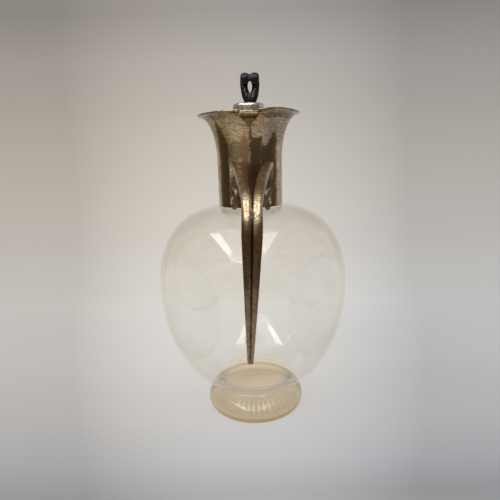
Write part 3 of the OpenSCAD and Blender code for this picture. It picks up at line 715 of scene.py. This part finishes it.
def collar_tarnish_and_painted_reflections(finish, place, colour):
    """Tarnish and painted reflections on the handle's side, laid out by millimetres round the
    collar and by height.
    """
    drift = finish.noise(place, 130, detail=4, rough=0.6)
    drift_up = finish.noise(finish.stretch(place, -1, 1, 1), 150, detail=4, rough=0.6)
    x, y, z = finish.axes(place)
    side = x.math("ARCTAN2", y * -1) * COLLAR_R
    around = side + (drift - 0.5) * 7
    high = z / MM + (drift_up - 0.5) * 7
    behind = side.math("ABSOLUTE").step(50, 36)

    def tone_mark(colour, mask, tone, strength):
        return finish.mix(mask * behind * strength, colour, rgb(*tone))

    def patch(centre, middle, half_w, half_h):
        off_x, off_z = (around - centre) / half_w, (high - middle) / half_h
        return (off_x * off_x + off_z * off_z).step(1.5, 0.5)

    def band(low, high_end, soft=1.5):
        return around.step(low - soft, low + soft) * around.step(high_end + soft, high_end - soft)

    # Rubbed pale in three bands on the flare, warm beside the seam and greyer on the right, with
    # painted reflections of the room laid over the wear
    colour = tone_mark(colour, band(-19, 2, 3) * high.step(233, 240), (236, 206, 160), 0.9)
    colour = tone_mark(colour, band(0, 14, 3) * high.step(231, 236), (226, 190, 152), 0.85)
    colour = tone_mark(colour, band(14, 36, 4) * high.step(231, 240), (172, 156, 136), 0.8)
    # Olive brown on the left, tarnish with a painted reflection of the dark room, and brown low
    # down where polish never reached
    colour = tone_mark(colour, band(-36, -15, 2.5) * high.step(226, 236), (178, 154, 112), 0.8)
    colour = tone_mark(colour, band(-19, 10, 3) * high.step(226, 216), (128, 98, 60), 0.85)
    colour = tone_mark(colour, patch(-11.5, 229, 6.5, 7.5), (150, 140, 96), 0.8)
    colour = tone_mark(colour, patch(-4.2, 230, 4.2, 10), (176, 134, 100), 0.75)
    # A dark olive streak that widens downwards, tarnish with painted reflection, flecks on the
    # flare, and a painted shadow line under the rim
    taper = (255 - high).math("MAXIMUM", 0) * 0.3
    olive = ((around + 23.5).math("ABSOLUTE") - taper.math("MINIMUM", 6.0)).step(1.2, -1.2)
    colour = tone_mark(colour, olive, (96, 78, 42), 0.93)
    flecks = finish.noise(finish.stretch(place, 1, 1, 5), 330, detail=3)
    colour = tone_mark(colour, flecks.step(0.55, 0.62) * high.step(232, 246), (64, 50, 36), 0.75)
    # Painted shadow under the rim wire
    painted_rim_shadow = high.step(252.5, 254.6) * (drift * 1.6 - 0.1)
    colour = tone_mark(colour, painted_rim_shadow, (74, 56, 38), 0.85)
    # Two dark marks right of the seam, stains with painted reflection, one with an even top and
    # one with a humped top
    even_top = band(0.9, 9.0, 0.5) * high.step(239.5, 238)
    colour = tone_mark(colour, even_top, (92, 82, 68), 0.92)
    hump = 233 + (around - 12.5).step(0, 7) * 9 - (around - 20.8).step(0, 4) * 5
    humped_top = (high - hump).step(0.8, -0.8) * around.step(8.6, 9.6) * around.step(25.5, 23.5)
    colour = tone_mark(colour, humped_top, (98, 84, 58), 0.92)
    colour = tone_mark(colour, band(-3, 6, 2) * high.step(222, 214), (92, 58, 34), 0.7)
    # The soldered seam, and the grey point above it that widens down from the hinge
    off_seam = (side - SEAM_AT).math("ABSOLUTE")
    seam = off_seam.step(0.40, 0.12) * behind * high.step(248, 244)
    point = (off_seam - (249 - high).math("MAXIMUM", 0) * 0.13).step(0.3, -0.3)
    colour = tone_mark(colour, point * high.step(236, 238.5), (82, 86, 74), 0.8)
    return finish.mix(seam * 0.6, colour, rgb(132, 112, 84))


collar.data.materials.append(plate_finish(
    "collar_plate", rgb(214, 200, 178), rgb(196, 172, 138), rgb(96, 76, 56), collar_tarnish_and_painted_reflections))
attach(collar, "jug")
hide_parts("collar")


# ---- Rim wire ----------------------------------------------------------------------------
# A thin round plated wire that is bent to the beaten edge and soldered along it, and open where
# the hinge sits in its notch.

WIRE_R = 0.8
inward_r, inward_z = flare_inward(FLARE_END)
wire_at = (RIM_R + inward_r * SHEET / 2 + inward_z * WIRE_R,
           RIM_Z + inward_z * SHEET / 2 - inward_r * WIRE_R)
rim = turned("rim_wire_round", arc(wire_at, WIRE_R, WIRE_R, 0, 345, 23), crease=60,
             lift=lambda turn, r, z: rim_rise(turn))
cut(rim, *notch_tools())
rim.data.materials.append(plate_finish(
    "rim_plate", rgb(178, 160, 132), rgb(118, 96, 70), rgb(46, 34, 24)))
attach(rim, "jug")
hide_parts("rim_wire")


# ---- Cap ring and lid seat ---------------------------------------------------------------
# Two turned rings of plated sheet soldered inside the collar: one closes the plaster over the
# end of the glass neck, and the lid drops on the other.

inside_plate = plate_finish(
    "inside_plate", rgb(206, 190, 164), rgb(160, 132, 98), rgb(80, 62, 44))
dress(inside_plate, "neck_cap_ring", "lid_seat_ring")


# ---- Handle ------------------------------------------------------------------------------
# Two half-round reeds. Each starts in a volute on the collar, rises, arches over and swings
# in to meet its twin, and the pair tapers down to one blunt point beside the body.

REACH, BEND_Z, ARCH_Z, TIP_Z, TIP_GAP = 104, 177, 218, 77, 0.8
VOLUTE_X, VOLUTE_R, SPLAY = 15.4, 9.6, 14
REED_W, REED_T, TIP_W = 6.7, 4.4, 2.3
VOLUTE_WIRE_W, VOLUTE_WIRE_T, VOLUTE_EYE, VOLUTE_TURNS = 3.2, 2.4, 0.22, 1.5
LEAN, SOLDER_LAP = 2, 0.06
VOLUTE_STEPS, LOWER_STEPS = 72, 40
back_y = sqrt(COLLAR_R ** 2 - VOLUTE_X ** 2) + 0.4
volute_y = back_y + VOLUTE_R
volute_z = SHOULDER_Z + VOLUTE_R + 0.1


def smooth_path(points, steps):
    """A smooth curve through points, with every number of a point carried along it."""
    last = len(points) - 1
    path = []
    for i in range(last):
        a, b = points[max(i - 1, 0)], points[i]
        c, d = points[i + 1], points[min(i + 2, last)]
        for k in range(steps + (i == last - 1)):
            t = k / steps
            path.append([0.5 * (2 * q + (r - p) * t + (2 * p - 5 * q + 4 * r - s) * t * t
                                + (3 * q - p - 3 * r + s) * t ** 3)
                         for p, q, r, s in zip(a, b, c, d)])
    return path


def swept(name, path, section, crease=None):
    """A solid swept along a path of points with a width and a thickness, ends closed."""
    points = []
    for i, (x, y, z, wide, thick) in enumerate(path):
        before, after = path[max(i - 1, 0)], path[min(i + 1, len(path) - 1)]
        along = (Vector(after[:3]) - Vector(before[:3])).normalized()
        across = (Vector((1, 0, 0)) - along.x * along).normalized()
        out = along.cross(across)
        for u, v in section:
            points.append(Vector((x, y, z)) + across * u * wide + out * v * thick)
    sides = len(section)
    faces = grid_faces(len(path), sides, True)
    faces.append(tuple(reversed(range(sides))))
    faces.append(tuple(range((len(path) - 1) * sides, len(path) * sides)))
    return add_mesh(name, points, faces, crease)


reed_section = ([(0.46, 0.0), (0.5, 0.05), (0.5, 0.52)]
                + arc((0, 0.54), 0.495, 0.46, 4, 176, 18)
                + [(-0.5, 0.52), (-0.5, 0.05), (-0.46, 0.0)])
volute_path = []
for i in range(VOLUTE_STEPS):
    share = i / VOLUTE_STEPS
    angle = radians(180 + 360 * VOLUTE_TURNS * (1 - share))
    r = VOLUTE_R * (VOLUTE_EYE + (1 - VOLUTE_EYE) * share)
    y = volute_y + r * cos(angle)
    volute_path.append([VOLUTE_X - (y - back_y) * tan(radians(SPLAY)), -y,
                        volute_z + r * sin(angle), VOLUTE_WIRE_W,
                        VOLUTE_WIRE_T * (0.7 + 0.3 * share)])
limb_path = smooth_path([
    [VOLUTE_X, -back_y, volute_z, VOLUTE_WIRE_W, VOLUTE_WIRE_T],
    [VOLUTE_X, -back_y - 0.2, (volute_z + ARCH_Z) / 2 - 2, VOLUTE_WIRE_W + 0.4, VOLUTE_WIRE_T],
    [VOLUTE_X - 0.2, -back_y - 2.2, ARCH_Z - 5, VOLUTE_WIRE_W + 0.9, VOLUTE_WIRE_T + 0.3],
    [VOLUTE_X - 1.6, -back_y - 9, ARCH_Z, REED_W - 0.6, VOLUTE_WIRE_T + 0.8],
    [VOLUTE_X * 0.68, -REACH * 0.46, ARCH_Z - 3, REED_W + 0.3, REED_T - 0.4],
    [VOLUTE_X * 0.5, -REACH * 0.63, ARCH_Z - 8.5, REED_W + 0.3, REED_T - 0.2],
    [REED_W * 0.76, -REACH * 0.8, ARCH_Z - 15.5, REED_W, REED_T],
    [REED_W * 0.57, -REACH * 0.89, ARCH_Z - 20.3, REED_W, REED_T],
    [REED_W * 0.505, -REACH * 0.957, ARCH_Z - 26.6, REED_W, REED_T],
    [REED_W * 0.5, -REACH * 0.994, BEND_Z + 7, REED_W, REED_T],
    [REED_W * 0.5, -REACH, BEND_Z, REED_W, REED_T],
], 12)
tip_share = (BELLY_Z - TIP_Z) / (BELLY_Z - BODY_LOW_Z)
tip_y = BELLY_R * (1 - tip_share ** 2) ** (1 / BASE_FULL) + TIP_GAP
lower_path = []
for i in range(1, LOWER_STEPS + 1):
    share = i / LOWER_STEPS
    wide = REED_W + (TIP_W - REED_W) * share
    lower_path.append([wide / 2, -REACH + (REACH - tip_y) * share - 3 * sin(pi * share),
                       BEND_Z + (TIP_Z - BEND_Z) * share, wide,
                       REED_T + (TIP_W * 1.2 - REED_T) * share])
x, y, z, wide, thick = lower_path[-1]
lower_path += [[x * 0.9, y - 0.2, z - 1.1, wide * 0.8, thick * 0.8],
               [x * 0.8, y - 0.5, z - 1.8, wide * 0.4, thick * 0.4]]


def handle_marks(finish, place, colour):
    """Dark brown between about 120 and 196 mm high, rubbed paler at the tip, with painted shade at
    the bend and curls.
    """
    x, y, z = finish.axes(place)
    drift = finish.noise(finish.stretch(place, 2, 1, 0.5), 120, detail=4, rough=0.6)
    high = z / MM + (drift - 0.5) * 26
    brown_middle = high.step(196, 176) * high.step(118, 150)
    low = high.step(150, 120)
    # Painted shade that dulls the bright reflection on the bend
    bend = z.step(0.186, 0.196) * z.step(0.222, 0.208) * y.step(-0.070, -0.082)
    colour = finish.mix(bend * (drift * 0.8 + 0.1), colour, rgb(150, 116, 80))
    # Painted shade that dulls the glints in the volutes' curls
    curl = z.step(0.212, 0.204) * y.step(-0.056, -0.050)
    colour = finish.mix(curl * (drift * 0.8 + 0.35), colour, rgb(88, 76, 62))
    colour = finish.mix(low * 0.75, colour, rgb(168, 140, 110))
    return finish.mix(brown_middle * 0.92, colour, rgb(84, 60, 34))


handle_plate = plate_finish(
    "handle_plate", rgb(220, 202, 174), rgb(158, 126, 90), rgb(66, 48, 32), handle_marks,
    grain=(9, 1, 0.7), dull=0.25)
lean = (Matrix.Translation((0, 0, SHOULDER_Z * MM)) @ Matrix.Rotation(radians(LEAN), 4, "Y")
        @ Matrix.Translation((0, 0, -SHOULDER_Z * MM)))
for side, word in ((-1, "left"), (1, "right")):
    path = [[side * (x - SOLDER_LAP), y, z, wide, thick]
            for x, y, z, wide, thick in volute_path + limb_path + lower_path]
    reed = swept(f"reed_{word}", path, reed_section, crease=50)
    reed.data.transform(lean)
    reed.data.materials.append(handle_plate)
    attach(reed, "jug")
    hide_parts(f"handle_reed_{word}")


# ---- Hinge -------------------------------------------------------------------------------
# Three small plated knuckles on a brass pin. The outer two are soldered to the collar above a
# V-shaped drop, and the middle one carries the lid by its strap.

dress(plate_finish("hinge_plate", rgb(150, 126, 94), rgb(104, 80, 54), rgb(38, 28, 20)),
      "hinge_drop", "hinge_knuckles", "lid_leaf")
finish = Finish("brass")
rub = finish.noise(finish.place(), 700, detail=3)
brass = finish.output(finish.surface(
    Base_Color=finish.mix(rub, rgb(150, 112, 58), rgb(196, 160, 92)), Metallic=1.0,
    Roughness=0.22 + rub * 0.2, Normal=finish.bump(rub, 0.1, 0.0002)))
dress(brass, "hinge_pin")


# ---- Lid ---------------------------------------------------------------------------------
# A domed disc of plated sheet that drops onto its seat inside the trumpet. A wire on its edge
# stiffens it, and a tapered bezel soldered beneath centres it.

dress(plate_finish("lid_plate", rgb(214, 204, 188), rgb(180, 158, 128), rgb(92, 72, 52)),
      "lid_cover", "lid_edge_wire")
dress(inside_plate, "lid_bezel")

# The boss under the finial is a low drum with a flat top, hollow for the stud
boss_low, boss_high = (corner.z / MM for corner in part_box("lid_boss"))
STUD_R, BOSS_R, BOSS_TOP_R, BOSS_STEP = 1.5, 12.8, 10.6, 2.4
BOSS_EDGE, BOSS_DISH = 0.4, 0.15
boss = turned("lid_boss_drum",
              [(STUD_R, boss_low), (BOSS_R - BOSS_EDGE, boss_low), (BOSS_R, boss_low + BOSS_EDGE)]
              + arc((BOSS_TOP_R, boss_high - BOSS_STEP), BOSS_R - BOSS_TOP_R, BOSS_STEP, 0, 90, 12)
              + [(STUD_R + 3, boss_high - BOSS_DISH), (STUD_R, boss_high - BOSS_DISH)])
# The boss's plate is painted paler than the lid's, a painted highlight for the light it catches
boss.data.materials.append(plate_finish(
    "boss_plate_lit", rgb(232, 228, 218), rgb(192, 180, 160), rgb(84, 70, 56)))
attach(boss, "lid")
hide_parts("lid_boss")


# ---- Finial ------------------------------------------------------------------------------
# Black wood or horn cut as two bands that part, swell and curl over into lobes at the top. A
# brass stud with a washer and nut beneath the lid holds it down on its boss.

FINIAL_OFF = 1.8
FINIAL_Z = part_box("finial")[0].z / MM
FINIAL_H, HALF_W, SLOT, VOXEL = 23.4, 7.9, 2.9, 0.3
band = (HALF_W - SLOT / 2) / 2
band_x = SLOT / 2 + band
lobe_x = HALF_W * 0.49
finial_path = smooth_path([
    [1.4, 0, 0, 2.8, 3.3],
    [1.9, 0, FINIAL_H * 0.07, 2.9, 3.2],
    [2.8, 0.2, FINIAL_H * 0.19, 3.2, 3],
    [band_x * 0.75, 0.7, FINIAL_H * 0.31, band * 1.06, 2.8],
    [band_x * 0.96, 1.5, FINIAL_H * 0.48, band * 0.95, 2.7],
    [band_x, 2, FINIAL_H * 0.65, band, 2.6],
    [band_x * 0.9, 1.8, FINIAL_H * 0.78, band * 1.13, 2.6],
    [lobe_x, -0.4, FINIAL_H * 0.885, lobe_x * 0.98, 2.6],
    [lobe_x, -3.4, FINIAL_H * 0.87, lobe_x * 0.97, 2.5],
    [lobe_x * 1.04, -5, FINIAL_H * 0.76, band, 2.3],
    [lobe_x * 1.06, -4, FINIAL_H * 0.665, band * 0.8, 1.7],
    [lobe_x * 1.06, -2.9, FINIAL_H * 0.66, band * 0.35, 0.7],
], 8)
round_section = arc((0, 0), 1, 1, 0, 345, 23)
finial, other_side = (
    swept(name, [[FINIAL_OFF + side * x, y, z + FINIAL_Z, wide, thick]
                 for x, y, z, wide, thick in finial_path], round_section)
    for name, side in (("finial_horn", -1), ("finial_side", 1)))
web = swept("finial_web", [
    [FINIAL_OFF, y, z + FINIAL_Z, wide, thick]
    for y, z, wide, thick in ((0, 0, 3.2, 3.2), (0, 3, 3.4, 3.1), (0.3, 6, 3.4, 2.8),
                              (0.5, 8.2, 2.4, 2.2))], round_section)
bridge = swept("finial_bridge", [
    [FINIAL_OFF, y, z + FINIAL_Z, wide, thick]
    for y, z, wide, thick in ((3.2, 18.2, 1.2, 0.6), (1.8, 19.4, 2.9, 2.2), (-1.0, 20.0, 3.3, 2.7),
                              (-3.4, 19.4, 3.2, 2.5), (-5.4, 17.4, 2.6, 1.6),
                              (-5.6, 16.2, 1.2, 0.5))], round_section)
cut(finial, other_side, web, bridge, operation="UNION")
remesh = finial.modifiers.new("even", "REMESH")
remesh.mode = "VOXEL"
remesh.voxel_size = VOXEL * MM
rubbed = finial.modifiers.new("rubbed", "SMOOTH")
rubbed.factor = 0.5
rubbed.iterations = 4
settle(finial)
finial.data.shade_smooth()
finish = Finish("ebony")
grain = finish.noise(finish.stretch(finish.place(), 1, 1, 0.15), 900, detail=4)
# Pale flecks: worn chips in the black, and painted glints
worn_and_glints = finish.noise(finish.place(), 520, detail=3, rough=0.6).step(0.665, 0.70)
finish.output(finish.surface(
    Base_Color=finish.mix(worn_and_glints * 0.7, finish.mix(grain, rgb(10, 8, 7), rgb(24, 18, 15)),
                          rgb(178, 160, 144)),
    Roughness=0.04 + grain * 0.05 + worn_and_glints * 0.4, Specular_IOR_Level=0.26,
    Normal=finish.bump(grain, 0.06, 0.0002)))
finial.data.materials.clear()
finial.data.materials.append(finish.material)
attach(finial, "lid")
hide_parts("finial")
dress(brass, "finial_stud", "finial_washer", "finial_nut")
